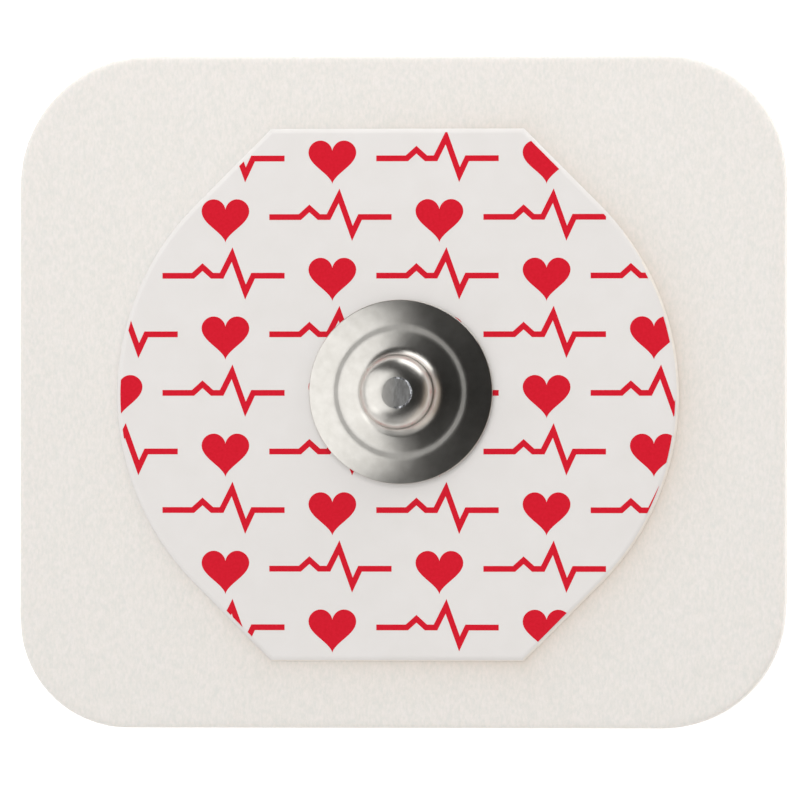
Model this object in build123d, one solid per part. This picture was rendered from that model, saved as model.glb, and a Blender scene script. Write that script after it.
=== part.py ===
from build123d import *
import math
import os

# Foam monitoring electrode with a snap stud, lying on its adhesive face. Sizes are in millimetres.
# X runs along the long side of the foam, and +Z points up, out of the stud.
# The origin is on the adhesive face, in the middle of the foam and under the stud.

# Foam backing: a die-cut adhesive tape with a round well for the gel
FOAM_LENGTH = 40.0
FOAM_WIDTH = 35.0
FOAM_THICKNESS = 1.5
FOAM_CORNER_RADIUS = 6.25
FOAM_EDGE_BREAK = 0.2
WELL_DIAMETER = 16.0

# Label: a film that roofs the well, bowed at the sides, with slanted cuts and level top and bottom edges
LABEL_WIDTH = 29.4
LABEL_HEIGHT = 27.7
LABEL_SIDE_RADIUS = 13.9
LABEL_CUT_ANGLE = 45.0
LABEL_THICKNESS = 0.15
LABEL_SHIFT_X = -0.2
LABEL_SHIFT_Y = -0.15
POST_HOLE_CLEARANCE = 0.1

# Snap stud: a shell drawn from one thickness of sheet, with a level ring pressed in its flange
SHEET_THICKNESS = 0.3
RIM_DIAMETER = 9.6
RIM_LIP = 0.02
RIM_BEND = 0.06
FLANGE_SLOPE = 16.0
OUTER_BAND_WIDTH = 1.27
RING_WIDTH = 0.36
ROOT_BEND = 0.9
NECK_LENGTH = 0.08
NECK_UNDERCUT = 0.2
FLARE_ANGLE = 45.0
FLARE_BEND = 0.3
HEAD_DIAMETER = 3.9
HEAD_LAND = 0.35
SHOULDER_BEND = 0.8
CROWN_SLOPE = 45.0
CROWN_RUN = 0.05
TIP_DIAMETER = 1.25
SHARP = 0.0

# Sensor eyelet: a flange in the gel, and a post swaged into the head of the stud
EYELET_FLANGE_DIAMETER = 9.5
EYELET_FLANGE_THICKNESS = 0.5
POST_FIT_CLEARANCE = 0.03

# Gel pad: a disc in the well, round the flange of the eyelet
GEL_SIDE_GAP = 0.25
GEL_POCKET_GAP = 0.1

# Levels and radii that several pieces share
LABEL_TOP = FOAM_THICKNESS + LABEL_THICKNESS
EYELET_FLANGE_BOTTOM = FOAM_THICKNESS - EYELET_FLANGE_THICKNESS
EYELET_FLANGE_RADIUS = EYELET_FLANGE_DIAMETER / 2
RIM_RADIUS = RIM_DIAMETER / 2
HEAD_RADIUS = HEAD_DIAMETER / 2
NECK_RADIUS = HEAD_RADIUS - NECK_UNDERCUT
POST_INSET = SHEET_THICKNESS + POST_FIT_CLEARANCE
POST_RADIUS = NECK_RADIUS - POST_INSET


def setback(bend, turn):
    """Length that a bend takes up on each of the two straight runs beside it."""
    return bend * math.tan(math.radians(turn) / 2)


def stud_outline():
    """Corners of the stud's outer face, as (radius, height), and the bends at those between the ends.

    It starts at the rim's lip, climbs the flange and its pressed ring to the neck, and ends on the axis.
    The lip's inside is straight for its own height, up to the underside of the flange.
    """
    slope = math.tan(math.radians(FLANGE_SLOPE))
    flange_turn = 90 - FLANGE_SLOPE

    ring_outside = RIM_RADIUS - OUTER_BAND_WIDTH
    ring_inside = ring_outside - RING_WIDTH
    rim_height = LABEL_TOP + RIM_LIP + setback(SHEET_THICKNESS, flange_turn)
    ring_height = rim_height + OUTER_BAND_WIDTH * slope
    root_height = ring_height + (ring_inside - NECK_RADIUS) * slope

    waist_height = root_height + setback(ROOT_BEND, flange_turn) + NECK_LENGTH
    land_height = waist_height + NECK_UNDERCUT / math.tan(math.radians(FLARE_ANGLE))

    shoulder_turn = 90 - CROWN_SLOPE
    shoulder_setback = setback(SHOULDER_BEND, shoulder_turn)
    head_height = land_height + setback(FLARE_BEND, FLARE_ANGLE) + HEAD_LAND + shoulder_setback
    crown_run_in = math.cos(math.radians(CROWN_SLOPE))
    crown_span = HEAD_RADIUS - TIP_DIAMETER / 2 - (shoulder_setback + CROWN_RUN) * crown_run_in
    crown_setback = crown_span / (1 + crown_run_in)
    crown_bend = crown_setback / setback(1, CROWN_SLOPE)
    crown_radius = TIP_DIAMETER / 2 + crown_setback
    tip_height = head_height + (HEAD_RADIUS - crown_radius) * math.tan(math.radians(CROWN_SLOPE))

    corners = [
        Vector(RIM_RADIUS, LABEL_TOP),
        Vector(RIM_RADIUS, rim_height),
        Vector(ring_outside, ring_height),
        Vector(ring_inside, ring_height),
        Vector(NECK_RADIUS, root_height),
        Vector(NECK_RADIUS, waist_height),
        Vector(HEAD_RADIUS, land_height),
        Vector(HEAD_RADIUS, head_height),
        Vector(crown_radius, tip_height),
        Vector(0, tip_height),
    ]
    bends = [RIM_BEND, SHARP, SHARP, ROOT_BEND, SHARP, FLARE_BEND, SHOULDER_BEND, crown_bend]
    return corners, bends


def moved_in(corners, bends, depth):
    """The same outline a depth further in, where bends keep their centres and sharp corners stay sharp."""
    runs = [(end - start).normalized() for start, end in zip(corners, corners[1:])]
    inward = [Vector(-run.Y, run.X) for run in runs]
    inner_corners = [corners[0] + inward[0] * depth]
    inner_bends = []
    for corner, bend, side, next_side in zip(corners[1:], bends, inward, inward[1:]):
        inner_corners.append(corner + (side + next_side) * (depth / (1 + side.dot(next_side))))
        hollow = side.cross(next_side).Z < 0
        inner_bend = bend + depth if hollow else max(bend - depth, SHARP)
        inner_bends.append(SHARP if bend == SHARP else inner_bend)
    inner_corners.append(corners[-1] + inward[-1] * depth)
    return inner_corners, inner_bends


def turned(corners, bends):
    """Solid of revolution about Z under an outline that runs from its foot to the axis."""
    skin = FilletPolyline(*corners, radius=bends)
    back = Polyline(corners[-1], (0, corners[0].Y), corners[0])
    return revolve(Plane.XZ * make_face([*skin.edges(), *back.edges()]), Axis.Z)


def foam_backing():
    """Rounded rectangle of foam with its top edge broken, cut through by the well."""
    tape = extrude(RectangleRounded(FOAM_LENGTH, FOAM_WIDTH, FOAM_CORNER_RADIUS), FOAM_THICKNESS)
    tape = chamfer(tape.faces().sort_by(Axis.Z)[-1].edges(), FOAM_EDGE_BREAK)
    return tape - extrude(Circle(WELL_DIAMETER / 2), FOAM_THICKNESS)


def printed_label():
    """Film with a hole for the post. Its side arcs run into slanted cuts, whose peaks are cut off level."""
    cut = math.radians(LABEL_CUT_ANGLE)
    arc_centre = LABEL_WIDTH / 2 - LABEL_SIDE_RADIUS
    peak = (LABEL_SIDE_RADIUS + arc_centre * math.sin(cut)) / math.cos(cut)
    side = CenterArc((arc_centre, 0), LABEL_SIDE_RADIUS, LABEL_CUT_ANGLE - 90, 180 - 2 * LABEL_CUT_ANGLE)
    half = Line((0, -peak), side @ 0) + side + Line(side @ 1, (0, peak))
    bowed = make_face([*half.edges(), *mirror(half, Plane.YZ).edges()])
    film = extrude(bowed & Rectangle(LABEL_WIDTH, LABEL_HEIGHT), LABEL_THICKNESS)
    hole = extrude(Circle(POST_RADIUS + POST_HOLE_CLEARANCE), LABEL_THICKNESS)
    return Pos(LABEL_SHIFT_X, LABEL_SHIFT_Y, FOAM_THICKNESS) * film - Pos(0, 0, FOAM_THICKNESS) * hole


def snap_stud():
    """Shell of even thickness: the outer form, hollowed by the same outline moved in by the sheet."""
    corners, bends = stud_outline()
    return turned(corners, bends) - turned(*moved_in(corners, bends, SHEET_THICKNESS))


def sensor_eyelet():
    """Flange under the film, and a post that fills the neck and flares out in the head, up to its dome."""
    corners, bends = moved_in(*stud_outline(), POST_INSET)
    waist, land, shoulder, _, tip = corners[-5:]
    top = shoulder.Y - setback(bends[-2], 90 - CROWN_SLOPE)
    outline = [
        Vector(EYELET_FLANGE_RADIUS, EYELET_FLANGE_BOTTOM),
        Vector(EYELET_FLANGE_RADIUS, FOAM_THICKNESS),
        Vector(POST_RADIUS, FOAM_THICKNESS),
        waist,
        land,
        Vector(shoulder.X, top),
        Vector(tip.X, top),
    ]
    return turned(outline, [SHARP] * (len(outline) - 2))


def gel_pad():
    """Disc that fills the well, with a pocket for the flange of the eyelet."""
    disc = extrude(Circle(WELL_DIAMETER / 2 - GEL_SIDE_GAP), FOAM_THICKNESS)
    pocket = extrude(Circle(EYELET_FLANGE_RADIUS + GEL_POCKET_GAP), EYELET_FLANGE_THICKNESS)
    return disc - Pos(0, 0, EYELET_FLANGE_BOTTOM) * pocket


os.makedirs("parts", exist_ok=True)
export_step(foam_backing(), "parts/foam_backing.step")
export_step(gel_pad(), "parts/gel_pad.step")
export_step(sensor_eyelet(), "parts/sensor_eyelet.step")
export_step(printed_label(), "parts/printed_label.step")
export_step(snap_stud(), "parts/snap_stud.step")
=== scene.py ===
import math

import bmesh
import bpy
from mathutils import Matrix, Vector


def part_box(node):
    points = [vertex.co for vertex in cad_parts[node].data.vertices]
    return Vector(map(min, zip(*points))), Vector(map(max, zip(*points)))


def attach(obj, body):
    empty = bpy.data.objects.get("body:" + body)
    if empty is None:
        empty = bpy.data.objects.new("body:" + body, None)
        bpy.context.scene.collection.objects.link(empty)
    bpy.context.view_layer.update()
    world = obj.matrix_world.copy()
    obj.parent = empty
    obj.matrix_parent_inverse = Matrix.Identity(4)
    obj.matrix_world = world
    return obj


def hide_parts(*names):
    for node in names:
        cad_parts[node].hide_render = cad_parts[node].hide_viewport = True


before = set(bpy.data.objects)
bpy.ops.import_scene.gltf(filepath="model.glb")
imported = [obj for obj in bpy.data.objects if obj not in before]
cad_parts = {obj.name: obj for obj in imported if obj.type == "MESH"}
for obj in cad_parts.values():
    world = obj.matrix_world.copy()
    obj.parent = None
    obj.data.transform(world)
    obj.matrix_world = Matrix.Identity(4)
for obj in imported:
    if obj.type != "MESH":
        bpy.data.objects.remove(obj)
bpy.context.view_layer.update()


# Foam backing: white closed-cell polyethylene foam tape, coated with skin adhesive underneath.
# It is die-cut from a roll, so its top edge is pressed soft and its fine cells are drawn out along the web.
# A round well is punched through the middle for the gel.
MM = 0.001
FOAM_CORNERS = {(-1, 1): 6.77 * MM, (1, 1): 6.27 * MM, (-1, -1): 5.64 * MM, (1, -1): 6.4 * MM}
FOAM_EDGE = 0.1 * MM
FOAM_VOXEL = 0.2 * MM
FOAM_CELL = (0.3 * MM, 0.45 * MM, 0.3 * MM)
FOAM_RELIEF = 0.008 * MM
WELL_RADIUS = 8.0 * MM
ROUND_STEPS = 128
ADHESIVE_SLOT = 1
FACING_UP = 0.9
TOLERANCE = 0.002 * MM
NOISE_LOW = 0.3
NOISE_HIGH = 0.7
foam_low, foam_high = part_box("foam_backing")
foam_middle = (foam_low + foam_high) / 2
foam_half = (foam_high - foam_low) / 2


def start_piece(name):
    """Names the primitive just added, puts its place in its mesh, and opens it for editing, all selected."""
    piece = bpy.context.object
    piece.name = name
    piece.data.name = name
    bpy.ops.object.transform_apply(location=True, rotation=True, scale=True)
    bpy.ops.object.mode_set(mode="EDIT")
    bpy.ops.mesh.select_mode(type="VERT")
    bpy.ops.mesh.select_all(action="SELECT")
    return piece


def pick(piece, kind, wanted):
    """Selects the faces or the edges of a piece in edit mode that pass a test, and nothing else."""
    bpy.ops.mesh.select_mode(type=kind)
    bpy.ops.mesh.select_all(action="DESELECT")
    mesh = bmesh.from_edit_mesh(piece.data)
    for element in mesh.faces if kind == "FACE" else mesh.edges:
        if wanted(element):
            element.select_set(True)
    mesh.select_flush_mode()
    bmesh.update_edit_mesh(piece.data)


def apply_modifier(piece, kind, **settings):
    """Adds a modifier with these settings to a piece and applies it."""
    bpy.ops.object.select_all(action="DESELECT")
    piece.select_set(True)
    bpy.context.view_layer.objects.active = piece
    modifier = piece.modifiers.new(kind.lower(), kind)
    for setting, value in settings.items():
        setattr(modifier, setting, value)
    bpy.ops.object.modifier_apply(modifier=modifier.name)


def punch_hole(piece, radius, low, high):
    """Cuts a round hole about the Z axis through a piece that lies between two heights."""
    bpy.ops.object.select_all(action="DESELECT")
    height = high - low
    bpy.ops.mesh.primitive_cylinder_add(
        vertices=ROUND_STEPS, radius=radius, depth=2 * height, location=(0, 0, low + height / 2)
    )
    punch = bpy.context.object
    apply_modifier(piece, "BOOLEAN", object=punch, operation="DIFFERENCE", solver="EXACT")
    bpy.data.objects.remove(punch)


def new_material(name):
    """A node material and its Principled shader."""
    material = bpy.data.materials.new(name)
    material.use_nodes = True
    return material, material.node_tree.nodes["Principled BSDF"]


def object_pattern(shader, kind, cell):
    """A texture node of the given kind on Object coordinates, with cells of that length along X, Y and Z."""
    tree = shader.id_data
    place = tree.nodes.new("ShaderNodeTexCoord")
    mapping = tree.nodes.new("ShaderNodeMapping")
    mapping.inputs["Scale"].default_value = [1 / length for length in cell]
    texture = tree.nodes.new(kind)
    texture.inputs["Scale"].default_value = 1
    tree.links.new(place.outputs["Object"], mapping.inputs["Vector"])
    tree.links.new(mapping.outputs["Vector"], texture.inputs["Vector"])
    return texture


def noise_pattern(shader, cell, detail):
    """The output of a noise on Object coordinates."""
    noise = object_pattern(shader, "ShaderNodeTexNoise", cell)
    noise.inputs["Detail"].default_value = detail
    return noise.outputs["Fac"]


def vary_colour(shader, source, *stops):
    """Base colour from a ramp that a texture output leads, with stops given as (position, colour)."""
    tree = shader.id_data
    ramp = tree.nodes.new("ShaderNodeValToRGB")
    while len(ramp.color_ramp.elements) < len(stops):
        ramp.color_ramp.elements.new(0.5)
    for element, (position, colour) in zip(ramp.color_ramp.elements, stops):
        element.position = position
        element.color = (*colour, 1)
    tree.links.new(source, ramp.inputs["Fac"])
    tree.links.new(ramp.outputs["Color"], shader.inputs["Base Color"])


def vary_roughness(shader, source, smooth, rough):
    """Roughness between two values, led by a texture output."""
    tree = shader.id_data
    vary = tree.nodes.new("ShaderNodeMapRange")
    vary.inputs["From Min"].default_value = NOISE_LOW
    vary.inputs["From Max"].default_value = NOISE_HIGH
    vary.inputs["To Min"].default_value = smooth
    vary.inputs["To Max"].default_value = rough
    tree.links.new(source, vary.inputs["Value"])
    tree.links.new(vary.outputs["Result"], shader.inputs["Roughness"])


def add_bump(shader, source, depth):
    """Bump of a real depth, led by a texture output."""
    tree = shader.id_data
    bump = tree.nodes.new("ShaderNodeBump")
    bump.inputs["Distance"].default_value = depth
    tree.links.new(source, bump.inputs["Height"])
    tree.links.new(bump.outputs["Normal"], shader.inputs["Normal"])


bpy.ops.object.select_all(action="DESELECT")
bpy.ops.mesh.primitive_cube_add(size=1, location=foam_middle, scale=2 * foam_half)
foam = start_piece("foam_sheet")
for (side, end), corner_radius in FOAM_CORNERS.items():
    pick(foam, "EDGE", lambda edge: all(
        (vert.co - foam_middle).x * side > foam_half.x - TOLERANCE
        and (vert.co - foam_middle).y * end > foam_half.y - TOLERANCE for vert in edge.verts
    ))
    bpy.ops.mesh.bevel(offset=corner_radius, segments=32, affect="EDGES")
pick(foam, "FACE", lambda face: face.normal.z > FACING_UP)
bpy.ops.mesh.region_to_loop()
bpy.ops.mesh.bevel(offset=FOAM_EDGE, segments=4, affect="EDGES")
bpy.ops.object.mode_set(mode="OBJECT")
punch_hole(foam, WELL_RADIUS, foam_low.z, foam_high.z)
apply_modifier(foam, "REMESH", mode="VOXEL", voxel_size=FOAM_VOXEL)

foam_grain = bpy.data.textures.new("foam_grain", "CLOUDS")
foam_grain.noise_scale = 1
foam_grain.noise_depth = 1
bpy.ops.object.empty_add(location=(0, 0, 0))
grain_size = bpy.context.object
grain_size.scale = FOAM_CELL
apply_modifier(
    foam, "DISPLACE", texture=foam_grain, texture_coords="OBJECT", texture_coords_object=grain_size,
    strength=FOAM_RELIEF, mid_level=1,
)
bpy.data.objects.remove(grain_size)
bpy.ops.object.shade_smooth()

foam_white, foam_shader = new_material("foam_white")
foam_shader.inputs["Specular IOR Level"].default_value = 0.3
foam_shader.inputs["Subsurface Weight"].default_value = 0.25
foam_shader.inputs["Subsurface Radius"].default_value = (1.0, 0.9, 0.8)
foam_shader.inputs["Subsurface Scale"].default_value = 0.3 * MM
mottle = noise_pattern(foam_shader, (0.13 * MM, 0.26 * MM, 0.13 * MM), detail=3)
vary_colour(
    foam_shader, mottle,
    (0.3, (0.773, 0.760, 0.720)), (0.5, (0.82, 0.79, 0.75)), (0.7, (0.863, 0.821, 0.786)),
)
vary_roughness(foam_shader, mottle, smooth=0.7, rough=0.8)
cells = object_pattern(foam_shader, "ShaderNodeTexVoronoi", (0.12 * MM, 0.3 * MM, 0.12 * MM))
add_bump(foam_shader, cells.outputs["Distance"], depth=0.005 * MM)
foam.data.materials.append(foam_white)

skin_adhesive, shader = new_material("skin_adhesive")
coat = noise_pattern(shader, [0.6 * MM] * 3, detail=3)
vary_colour(shader, coat, (0.3, (0.80, 0.77, 0.71)), (0.7, (0.84, 0.81, 0.76)))
vary_roughness(shader, coat, smooth=0.2, rough=0.3)
add_bump(shader, coat, depth=0.01 * MM)
foam.data.materials.append(skin_adhesive)
for face in foam.data.polygons:
    if face.normal.z < -FACING_UP:
        face.material_index = ADHESIVE_SLOT
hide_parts("foam_backing")
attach(foam, "root")


# Gel pad: clear conductive hydrogel, cast as a soft-edged disc that fills the well.
# A shallow pocket in its top takes the flange of the eyelet, and its underside lies on the skin.
GEL_EDGE = 0.15 * MM
POCKET_GAP = 0.1 * MM
SMOOTH_ANGLE = math.radians(40)
gel_low, gel_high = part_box("gel_pad")
eyelet_low, eyelet_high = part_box("sensor_eyelet")
pocket_radius = eyelet_high.x + POCKET_GAP


def extrude_up(height):
    """Extrudes what is selected along Z."""
    bpy.ops.mesh.extrude_region_move(TRANSFORM_OT_translate={"value": (0, 0, height)})


def face_outwards():
    """Selects all of the piece in edit mode and turns its faces outwards."""
    bpy.ops.mesh.select_all(action="SELECT")
    bpy.ops.mesh.normals_make_consistent(inside=False)


bpy.ops.object.select_all(action="DESELECT")
bpy.ops.mesh.primitive_circle_add(
    vertices=ROUND_STEPS, radius=gel_high.x, fill_type="NGON", location=(0, 0, gel_low.z)
)
gel = start_piece("gel_disc")
extrude_up(gel_high.z - gel_low.z)
bpy.ops.mesh.inset(thickness=gel_high.x - pocket_radius)
extrude_up(eyelet_low.z - gel_high.z)
face_outwards()
pick(gel, "EDGE", lambda edge: all(
    vert.co.xy.length > gel_high.x - TOLERANCE for vert in edge.verts
) and abs(edge.verts[0].co.z - edge.verts[1].co.z) < TOLERANCE)
bpy.ops.mesh.bevel(offset=GEL_EDGE, segments=5, affect="EDGES")
bpy.ops.object.mode_set(mode="OBJECT")
bpy.ops.object.shade_smooth_by_angle(angle=SMOOTH_ANGLE)

gel_clear, shader = new_material("gel_clear")
shader.inputs["IOR"].default_value = 1.36
shader.inputs["Transmission Weight"].default_value = 0.55
shader.inputs["Subsurface Weight"].default_value = 0.3
shader.inputs["Subsurface Scale"].default_value = 1.0 * MM
cloud = noise_pattern(shader, [2.5 * MM] * 3, detail=2)
vary_colour(shader, cloud, (0.35, (0.66, 0.75, 0.78)), (0.65, (0.76, 0.83, 0.85)))
vary_roughness(shader, cloud, smooth=0.08, rough=0.16)
add_bump(shader, cloud, depth=0.03 * MM)
gel.data.materials.append(gel_clear)
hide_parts("gel_pad")
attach(gel, "root")


# Sensor eyelet: moulded plastic with a coat of silver and silver chloride, matt and slightly brown.
# Its flange lies in the gel under the label, and its post is swaged into the stud.
silver_coat, shader = new_material("silver_coat")
shader.inputs["Metallic"].default_value = 0.35
grain = noise_pattern(shader, [0.2 * MM] * 3, detail=4)
vary_colour(shader, grain, (0.35, (0.36, 0.34, 0.32)), (0.65, (0.52, 0.50, 0.47)))
vary_roughness(shader, grain, smooth=0.5, rough=0.6)
add_bump(shader, grain, depth=0.01 * MM)
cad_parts["sensor_eyelet"].material_slots[0].material = silver_coat


# Label: white satin plastic film, die-cut with bowed sides and slanted corners and stuck on the foam.
# Its edge is pressed down soft, it roofs the well, and the post of the eyelet goes through its round hole.
# Painted warm shade darkens the foam round it, most of all on the right and lower side away from the light,
# and tints its edge faces on that side.
LABEL_SIDE_RADIUS = 13.9 * MM
LABEL_CUT = math.radians(45)
LABEL_ROLL = [
    (0.05 * MM, 0.05 * MM),
    (0.06 * MM, 0.04 * MM),
    (0.08 * MM, 0.03 * MM),
    (0.09 * MM, 0.02 * MM),
]
POST_HOLE_RADIUS = 1.52 * MM
UPRIGHT = 0.1
FINE_CUT = 0.0001 * MM
# Painted shade: how far the warm shade on the foam reaches, how softly it falls off, and the side away from
# the light where it is strongest.
PAINTED_SHADE_REACH = 4.0 * MM
PAINTED_SHADE_SOFTNESS = 0.5 * MM
SHADED_SIDE = Vector((1, -0.5, 0)).normalized()
FACING_SHADED_SIDE = 0.3
PAINTED_SHADE_EDGE_SLOT = 1
label_low, label_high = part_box("printed_label")
label_middle = (label_low + label_high) / 2
label_half = (label_high - label_low) / 2
side_centre = label_half.x - LABEL_SIDE_RADIUS
label_peak = (LABEL_SIDE_RADIUS + side_centre * math.sin(LABEL_CUT)) / math.cos(LABEL_CUT)
roll_width = sum(width for width, rise in LABEL_ROLL)
roll_rise = sum(rise for width, rise in LABEL_ROLL)


def blend_colour(shader, factor, colour, blend):
    """Blends one more colour into a shader's base colour, as far as a node's output says."""
    tree = shader.id_data
    base = shader.inputs["Base Color"]
    mix = tree.nodes.new("ShaderNodeMix")
    mix.data_type = "RGBA"
    mix.blend_type = blend
    mix.inputs["B"].default_value = (*colour, 1)
    tree.links.new(factor, mix.inputs["Factor"])
    tree.links.new(base.links[0].from_socket, mix.inputs["A"])
    tree.links.new(mix.outputs["Result"], base)


bpy.ops.object.select_all(action="DESELECT")
bpy.ops.mesh.primitive_circle_add(
    vertices=4, radius=label_peak, fill_type="NGON", location=(label_middle.x, label_middle.y, label_low.z)
)
label = start_piece("label_film")
bpy.ops.mesh.select_all(action="DESELECT")
outline = bmesh.from_edit_mesh(label.data)
for corner in outline.verts:
    corner.select_set(abs(corner.co.x - label_middle.x) > label_half.x)
bmesh.update_edit_mesh(label.data)
bpy.ops.mesh.bevel(offset=LABEL_SIDE_RADIUS / math.tan(LABEL_CUT), segments=48, affect="VERTICES")
for level, direction in ((label_high.y, 1), (label_low.y, -1)):
    bpy.ops.mesh.select_all(action="SELECT")
    bpy.ops.mesh.bisect(
        plane_co=(0, level, 0), plane_no=(0, direction, 0), clear_outer=True, threshold=FINE_CUT
    )
bpy.ops.mesh.select_all(action="SELECT")
extrude_up(label_high.z - label_low.z - roll_rise)
face_outwards()
bpy.ops.object.mode_set(mode="OBJECT")
label_walls = [
    (face.center.copy(), face.normal.copy()) for face in label.data.polygons if abs(face.normal.z) < UPRIGHT
]
bpy.ops.object.mode_set(mode="EDIT")
pick(label, "FACE", lambda face: face.normal.z > FACING_UP)
for width, rise in LABEL_ROLL:
    bpy.ops.mesh.inset(thickness=width, depth=rise)
bpy.ops.object.mode_set(mode="OBJECT")
punch_hole(label, POST_HOLE_RADIUS, label_low.z, label_high.z)
bpy.ops.object.shade_smooth_by_angle(angle=SMOOTH_ANGLE)
apply_modifier(label, "WEIGHTED_NORMAL", weight=100, keep_sharp=True)

label_film, shader = new_material("label_film")
shader.inputs["Specular IOR Level"].default_value = 0.35
haze = noise_pattern(shader, [1.6 * MM] * 3, detail=5)
vary_colour(shader, haze, (0.3, (0.768, 0.74, 0.716)), (0.7, (0.788, 0.761, 0.741)))
vary_roughness(shader, haze, smooth=0.39, rough=0.45)
add_bump(shader, haze, depth=0.004 * MM)
label.data.materials.append(label_film)

# Painted warm shade on the label's sloping edge faces that look away from the light, on the right and lower
# side.
painted_shade_edge, shader = new_material("painted_shade_edge")
edge_shade_mottle = noise_pattern(shader, [0.4 * MM] * 3, detail=2)
vary_colour(shader, edge_shade_mottle, (0.35, (0.83, 0.765, 0.69)), (0.65, (0.88, 0.82, 0.75)))
vary_roughness(shader, edge_shade_mottle, smooth=0.45, rough=0.55)
add_bump(shader, edge_shade_mottle, depth=0.004 * MM)
label.data.materials.append(painted_shade_edge)
for face in label.data.polygons:
    if face.normal.z < FACING_UP and face.normal.dot(SHADED_SIDE) > FACING_SHADED_SIDE:
        face.material_index = PAINTED_SHADE_EDGE_SLOT

# Painted warm shade on the foam round the label: it fades with distance from the label and is strongest on the
# side away from the light.
painted_shade = foam.data.attributes.new("label_painted_shade", "FLOAT", "POINT")
for point in foam.data.vertices:
    found, nearest, *_ = label.closest_point_on_mesh(point.co, distance=PAINTED_SHADE_REACH)
    if found:
        side = (1 + (point.co - label_middle).normalized().dot(SHADED_SIDE)) / 2
        away = (point.co - nearest).length
        fade = (1 - away / PAINTED_SHADE_REACH) * PAINTED_SHADE_SOFTNESS / (PAINTED_SHADE_SOFTNESS + away)
        painted_shade.data[point.index].value = side * fade
painted_shade_node = foam_white.node_tree.nodes.new("ShaderNodeAttribute")
painted_shade_node.attribute_name = "label_painted_shade"
blend_colour(foam_shader, painted_shade_node.outputs["Fac"], (0.87, 0.80, 0.74), "MULTIPLY")
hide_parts("printed_label")
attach(label, "root")


# Print: red ink on the film, a repeat of small hearts and pulse traces in level rows.
# Every second row is moved along by half a repeat, and the pattern stops just short of the label's edge.
INK_SUNK = 0.02 * MM
INK_PROUD = 0.005 * MM
HEART_WIDTH = 2.5 * MM
HEART_CURVE_WIDTH = 32
TRACE_STROKE = 0.3 * MM
TRACE_POINTS = [
    (0, 0), (1.6, 0), (2.1, 0.45), (2.6, 0), (3.1, 0), (3.65, 1.1), (4.35, -0.85), (4.75, 0), (6.4, 0),
]
TRACE_START = Vector((2.3 * MM, 0, 0))
PRINT_START = (-20.4 * MM, -15.3 * MM)
REPEAT_LENGTH = 11.2 * MM
ROW_PITCH = 3.05 * MM
REPEATS = 5
ROW_PAIRS = 6
ink_level = label_high.z - INK_SUNK
ink_margin = roll_width - LABEL_ROLL[-1][0]

bpy.ops.object.select_all(action="DESELECT")
bpy.ops.mesh.primitive_circle_add(vertices=64, radius=1, fill_type="NGON", location=(0, 0, 0))
heart = bpy.context.object
for point in heart.data.vertices:
    turn = math.atan2(point.co.x, point.co.y)
    across = 16 * math.sin(turn) ** 3
    up = 13 * math.cos(turn) - 5 * math.cos(2 * turn) - 2 * math.cos(3 * turn) - math.cos(4 * turn)
    point.co = Vector((across, up, 0)) * HEART_WIDTH / HEART_CURVE_WIDTH

bends = [Vector(point) * MM for point in TRACE_POINTS]
runs = [(end - start).normalized() for start, end in zip(bends, bends[1:])]
sides = [Vector((-run.y, run.x)) for run in runs]
edges = []
for bend, before, after in zip(bends, [sides[0], *sides], [*sides, sides[-1]]):
    mitre = (before + after) / (1 + before.dot(after)) * TRACE_STROKE / 2
    edges += [(bend - mitre).to_3d(), (bend + mitre).to_3d()]
trace_mesh = bpy.data.meshes.new("trace")
trace_mesh.from_pydata(
    [edge + TRACE_START for edge in edges], [],
    [(2 * i, 2 * i + 2, 2 * i + 3, 2 * i + 1) for i in range(len(runs))],
)
trace = bpy.data.objects.new("trace", trace_mesh)
bpy.context.collection.objects.link(trace)
trace.select_set(True)
bpy.context.view_layer.objects.active = heart
bpy.ops.object.join()

ink = start_piece("label_print")
bpy.ops.mesh.duplicate_move(TRANSFORM_OT_translate={"value": (REPEAT_LENGTH / 2, ROW_PITCH, 0)})
bpy.ops.object.mode_set(mode="OBJECT")
for count, offset in ((REPEATS, (REPEAT_LENGTH, 0, 0)), (ROW_PAIRS, (0, 2 * ROW_PITCH, 0))):
    apply_modifier(
        ink, "ARRAY", count=count, use_relative_offset=False, use_constant_offset=True,
        constant_offset_displace=offset,
    )
bpy.ops.object.mode_set(mode="EDIT")
bpy.ops.mesh.select_all(action="SELECT")
bpy.ops.transform.translate(value=(*PRINT_START, ink_level))
for centre, normal in label_walls:
    bpy.ops.mesh.select_all(action="SELECT")
    bpy.ops.mesh.bisect(
        plane_co=centre - normal * ink_margin, plane_no=normal, clear_outer=True, threshold=FINE_CUT
    )
bpy.ops.mesh.select_all(action="SELECT")
extrude_up(INK_SUNK + INK_PROUD)
face_outwards()
bpy.ops.object.mode_set(mode="OBJECT")

red_ink, shader = new_material("red_ink")
shader.inputs["Specular IOR Level"].default_value = 0.1
density = noise_pattern(shader, [0.15 * MM] * 3, detail=3)
vary_colour(shader, density, (0.3, (0.63, 0.004, 0.018)), (0.7, (0.69, 0.007, 0.026)))
vary_roughness(shader, density, smooth=0.46, rough=0.54)
add_bump(shader, density, depth=0.002 * MM)
ink.data.materials.append(red_ink)
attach(ink, "root")


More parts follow.
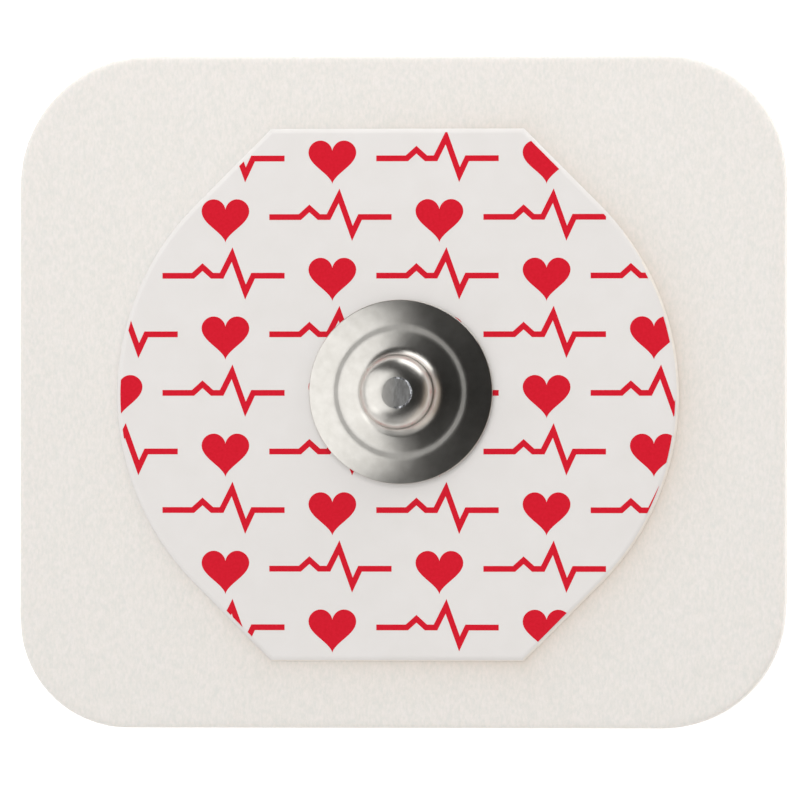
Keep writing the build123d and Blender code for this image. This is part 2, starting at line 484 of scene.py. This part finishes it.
# Snap stud: one disc of thin brass sheet, drawn up into a hollow head and plated with satin nickel.
# The flange has a pressed ring and clamps the label, and the waist takes the spring of the lead's socket.
# The tip is ground off flat, a little deeper on the right, which has a burr, and its left side is brightened
# with painted light.
STUD_STEPS = 192
SHEET = 0.3 * MM
RIM_LIP = 0.02 * MM
RIM_BEND = 0.06 * MM
FLANGE_SLOPE = math.radians(16)
OUTER_BAND = 1.27 * MM
RING_WIDTH = 0.36 * MM
RING_BEND = 0.7 * MM
ROOT_BEND = 0.9 * MM
NECK_LENGTH = 0.08 * MM
NECK_RADIUS = 1.75 * MM
WAIST_BEND = 0.1 * MM
FLARE = math.radians(45)
FLARE_BEND = 0.3 * MM
HEAD_RADIUS = 1.95 * MM
HEAD_LAND = 0.35 * MM
SHOULDER_BEND = 0.8 * MM
CROWN_SLOPE = math.radians(45)
CROWN_RUN = 0.05 * MM
TIP_RADIUS = 0.625 * MM
GRIND_DEPTH = 0.018 * MM
GRIND_LEAN = Vector((0.028, -0.009, 1)).normalized()
FACING_GRIND = 0.9999
# Painted light: the ground tip's colour brightens between these two X places towards the left, where the light
# comes from.
PAINTED_LIGHT_START = 0.2 * MM
PAINTED_LIGHT_END = -0.65 * MM
BURR_WIDTH = 0.11 * MM
GROUND_SLOT = 1
BURR_SLOT = 2
STUD_SMOOTH_ANGLE = math.radians(50)
RIGHT_ANGLE = math.radians(90)
stud_low, stud_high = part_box("snap_stud")
rim_radius = stud_high.x


def setback(bend, turn):
    """Length that a bend takes up on each side of its corner."""
    return bend * math.tan(turn / 2)


flange_turn = RIGHT_ANGLE - FLANGE_SLOPE
shoulder_turn = RIGHT_ANGLE - CROWN_SLOPE
ring_outside = rim_radius - OUTER_BAND
ring_inside = ring_outside - RING_WIDTH
rim_height = stud_low.z + RIM_LIP + setback(SHEET, flange_turn)
ring_height = rim_height + OUTER_BAND * math.tan(FLANGE_SLOPE)
root_height = ring_height + (ring_inside - NECK_RADIUS) * math.tan(FLANGE_SLOPE)
waist_height = root_height + setback(ROOT_BEND, flange_turn) + NECK_LENGTH
land_height = waist_height + (HEAD_RADIUS - NECK_RADIUS) / math.tan(FLARE)
shoulder_setback = setback(SHOULDER_BEND, shoulder_turn)
head_height = land_height + setback(FLARE_BEND, FLARE) + HEAD_LAND + shoulder_setback
crown_span = HEAD_RADIUS - TIP_RADIUS - (shoulder_setback + CROWN_RUN) * math.cos(CROWN_SLOPE)
crown_setback = crown_span / (1 + math.cos(CROWN_SLOPE))
crown_radius = TIP_RADIUS + crown_setback
crown_bend = crown_setback / math.tan(CROWN_SLOPE / 2)
tip_height = head_height + (HEAD_RADIUS - crown_radius) * math.tan(CROWN_SLOPE)

# Radius, height, bend, turn and segments of each ring of the shell, from the rim to the crown
rings = [
    (rim_radius, rim_height, RIM_BEND, flange_turn, 5),
    (ring_outside, ring_height, RING_BEND, FLANGE_SLOPE, 4),
    (ring_inside, ring_height, RING_BEND, FLANGE_SLOPE, 4),
    (NECK_RADIUS, root_height, ROOT_BEND, flange_turn, 14),
    (NECK_RADIUS, waist_height, WAIST_BEND, FLARE, 3),
    (HEAD_RADIUS, land_height, FLARE_BEND, FLARE, 5),
    (HEAD_RADIUS, head_height, SHOULDER_BEND, shoulder_turn, 12),
    (crown_radius, tip_height, crown_bend, CROWN_SLOPE, 16),
]

bpy.ops.object.select_all(action="DESELECT")
bpy.ops.mesh.primitive_circle_add(vertices=STUD_STEPS, radius=rim_radius, location=(0, 0, stud_low.z))
stud = start_piece("stud_shell")
radius, height = rim_radius, stud_low.z
for ring_radius, ring_level, *_ in rings:
    extrude_up(ring_level - height)
    scale = ring_radius / radius
    bpy.ops.transform.resize(value=(scale, scale, 1), center_override=(0, 0, ring_level))
    radius, height = ring_radius, ring_level
bpy.ops.mesh.extrude_region_move()
bpy.ops.mesh.merge(type="CENTER")
face_outwards()
for ring_radius, ring_level, bend, turn, segments in rings:
    pick(stud, "EDGE", lambda edge: all(
        abs(vert.co.xy.length - ring_radius) < TOLERANCE and abs(vert.co.z - ring_level) < TOLERANCE
        for vert in edge.verts
    ))
    bpy.ops.mesh.bevel(offset=setback(bend, turn), segments=segments, affect="EDGES")
bpy.ops.mesh.select_all(action="SELECT")
bpy.ops.mesh.bisect(
    plane_co=(0, 0, stud_high.z - GRIND_DEPTH), plane_no=GRIND_LEAN, use_fill=True, clear_outer=True,
    threshold=FINE_CUT,
)
pick(stud, "FACE", lambda face: face.normal.dot(GRIND_LEAN) > FACING_GRIND)
bpy.ops.mesh.inset(thickness=BURR_WIDTH)
bpy.ops.object.mode_set(mode="OBJECT")
apply_modifier(stud, "SOLIDIFY", thickness=SHEET, offset=-1)
for point in stud.data.vertices:
    point.co.z = max(point.co.z, stud_low.z)
bpy.ops.object.shade_smooth_by_angle(angle=STUD_SMOOTH_ANGLE)

satin_nickel, shader = new_material("satin_nickel")
shader.inputs["Metallic"].default_value = 1
wear = noise_pattern(shader, [0.5 * MM] * 3, detail=4)
vary_colour(shader, wear, (0.3, (0.60, 0.58, 0.54)), (0.7, (0.68, 0.66, 0.62)))
smudges = noise_pattern(shader, [1.5 * MM] * 3, detail=1)
vary_roughness(shader, smudges, smooth=0.28, rough=0.32)
add_bump(shader, wear, depth=0.003 * MM)
stud.data.materials.append(satin_nickel)

ground_tip, shader = new_material("ground_tip")
shader.inputs["Metallic"].default_value = 1
scuffs = noise_pattern(shader, (0.12 * MM, 0.3 * MM, 0.12 * MM), detail=4)
vary_colour(shader, scuffs, (0.3, (0.28, 0.276, 0.268)), (0.7, (0.44, 0.44, 0.44)))
tip_nodes, tip_links = ground_tip.node_tree.nodes, ground_tip.node_tree.links
tip_place = tip_nodes.new("ShaderNodeSeparateXYZ")
tip_links.new(tip_nodes.new("ShaderNodeTexCoord").outputs["Object"], tip_place.inputs["Vector"])
# Painted light on the tip's left side, led by its X place.
painted_left_light = tip_nodes.new("ShaderNodeMapRange")
painted_left_light.inputs["From Min"].default_value = PAINTED_LIGHT_START
painted_left_light.inputs["From Max"].default_value = PAINTED_LIGHT_END
tip_links.new(tip_place.outputs["X"], painted_left_light.inputs["Value"])
blend_colour(shader, painted_left_light.outputs["Result"], (0.72, 0.70, 0.66), "MIX")
vary_roughness(shader, scuffs, smooth=0.38, rough=0.46)
add_bump(shader, scuffs, depth=0.006 * MM)
stud.data.materials.append(ground_tip)

burr, shader = new_material("burr")
shader.inputs["Metallic"].default_value = 1
nicks = noise_pattern(shader, [0.2 * MM] * 3, detail=2)
vary_colour(shader, nicks, (0.4, (0.34, 0.34, 0.35)), (0.62, (0.80, 0.82, 0.85)))
vary_roughness(shader, nicks, smooth=0.3, rough=0.4)
add_bump(shader, nicks, depth=0.04 * MM)
stud.data.materials.append(burr)
for face in stud.data.polygons:
    if face.normal.dot(GRIND_LEAN) > FACING_GRIND and face.center.z > stud_high.z - SHEET / 2:
        on_burr = len(face.vertices) == 4 and face.center.x > 0
        face.material_index = BURR_SLOT if on_burr else GROUND_SLOT
        face.use_smooth = False
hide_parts("snap_stud")
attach(stud, "root")


# Table: a plain white sheet that glows a little, so that it stays white under the shadows.
# It is large enough to fill every view, and lies just under the electrode.
TABLE_SIZE = 4.0
TABLE_GAP = 0.02 * MM
bpy.ops.object.select_all(action="DESELECT")
bpy.ops.mesh.primitive_plane_add(size=TABLE_SIZE, location=(0, 0, -TABLE_GAP))
table = bpy.context.object
table.name = "table"
table_white, shader = new_material("table_white")
shader.inputs["Base Color"].default_value = (0.95, 0.95, 0.95, 1)
shader.inputs["Emission Color"].default_value = (1, 1, 1, 1)
shader.inputs["Emission Strength"].default_value = 0.4
shader.inputs["Roughness"].default_value = 0.9
shader.inputs["Specular IOR Level"].default_value = 0.1
table.data.materials.append(table_white)


# Studio light: a wide soft box on the left for the metal, and a glow from the same side for foam and film.
# A window at the back, two cards in front, a warm low card on the right and a small lamp overhead fill in.
# The rest of the room is dark to reflections, as black cards would make it, and white to the camera.
ROOM_FILL = 0.56
ROOM_REFLECTED = 0.018
ROOM_SEEN = 1.0


def add_softbox(name, place, aim, width, height, radiance):
    """A rectangular light that faces a point, with the brightness that a mirror would show."""
    light = bpy.data.lights.new(name, "AREA")
    light.shape = "RECTANGLE"
    light.size = width
    light.size_y = height
    light.energy = radiance * math.pi * width * height
    softbox = bpy.data.objects.new(name, light)
    softbox.location = place
    softbox.rotation_euler = (Vector(aim) - Vector(place)).to_track_quat("-Z", "Y").to_euler()
    bpy.context.collection.objects.link(softbox)
    return softbox


left_softbox = add_softbox(
    "left_softbox", place=(-1.06, 0.05, 1.06), aim=(0, 0.05, 0), width=2.46, height=2.2, radiance=1.35
)
left_softbox.visible_diffuse = False
left_glow = add_softbox(
    "left_glow", place=(-0.9, 0.5, 1.1), aim=(0, 0, 0), width=2.2, height=2.2, radiance=0.58
)
left_glow.visible_glossy = False
add_softbox(
    "back_window", place=(0.44, 0.87, 0.17), aim=(0, 0, 0.17), width=0.9, height=0.34, radiance=2.8
)
overhead = add_softbox(
    "overhead", place=(0, 0.16, 0.14), aim=(0, 0, 0), width=0.16, height=0.1, radiance=2.6
)
overhead.visible_glossy = False
add_softbox(
    "front_left_card", place=(-0.75, -0.85, 0.42), aim=(0, 0, 0.42), width=0.75, height=0.84, radiance=0.8
)
add_softbox(
    "front_card", place=(0.3, -1.0, 0.4), aim=(0, 0, 0.4), width=1.5, height=0.8, radiance=0.45
)
right_card = add_softbox(
    "right_card", place=(0.97, -0.45, 0.25), aim=(0, 0, 0.25), width=2.4, height=0.48, radiance=0.45
)
right_card.data.color = (1, 0.85, 0.72)

world = bpy.data.worlds.new("studio")
bpy.context.scene.world = world
world.use_nodes = True
room_nodes, room_links = world.node_tree.nodes, world.node_tree.links
ray = room_nodes.new("ShaderNodeLightPath")
reflected = room_nodes.new("ShaderNodeMix")
reflected.inputs["A"].default_value = ROOM_FILL
reflected.inputs["B"].default_value = ROOM_REFLECTED
seen = room_nodes.new("ShaderNodeMix")
seen.inputs["B"].default_value = ROOM_SEEN
room_links.new(ray.outputs["Is Glossy Ray"], reflected.inputs["Factor"])
room_links.new(ray.outputs["Is Camera Ray"], seen.inputs["Factor"])
room_links.new(reflected.outputs["Result"], seen.inputs["A"])
room_links.new(seen.outputs["Result"], room_nodes["Background"].inputs["Strength"])
room_nodes["Background"].inputs["Color"].default_value = (1, 1, 1, 1)
bpy.context.scene.view_settings.view_transform = "Standard"


# Camera: a long lens that looks almost straight down, leaning a little to the right of the stud.
# The foam nearly fills the frame from left to right.
CAMERA_DISTANCE = 0.9
CAMERA_LEAN = math.radians(6)
SENSOR = 36.0
VIEW_WIDTH = 41.62 * MM
VIEW_CENTRE = Vector((-0.075 * MM, -0.42 * MM, foam_high.z))
camera_data = bpy.data.cameras.new("camera")
camera_data.sensor_width = SENSOR
camera_data.lens = SENSOR * CAMERA_DISTANCE / VIEW_WIDTH
camera = bpy.data.objects.new("camera", camera_data)
towards_camera = Vector((math.sin(CAMERA_LEAN), 0, math.cos(CAMERA_LEAN)))
camera.location = VIEW_CENTRE + CAMERA_DISTANCE * towards_camera
camera.rotation_euler = (0, CAMERA_LEAN, 0)
bpy.context.collection.objects.link(camera)
bpy.context.scene.camera = camera
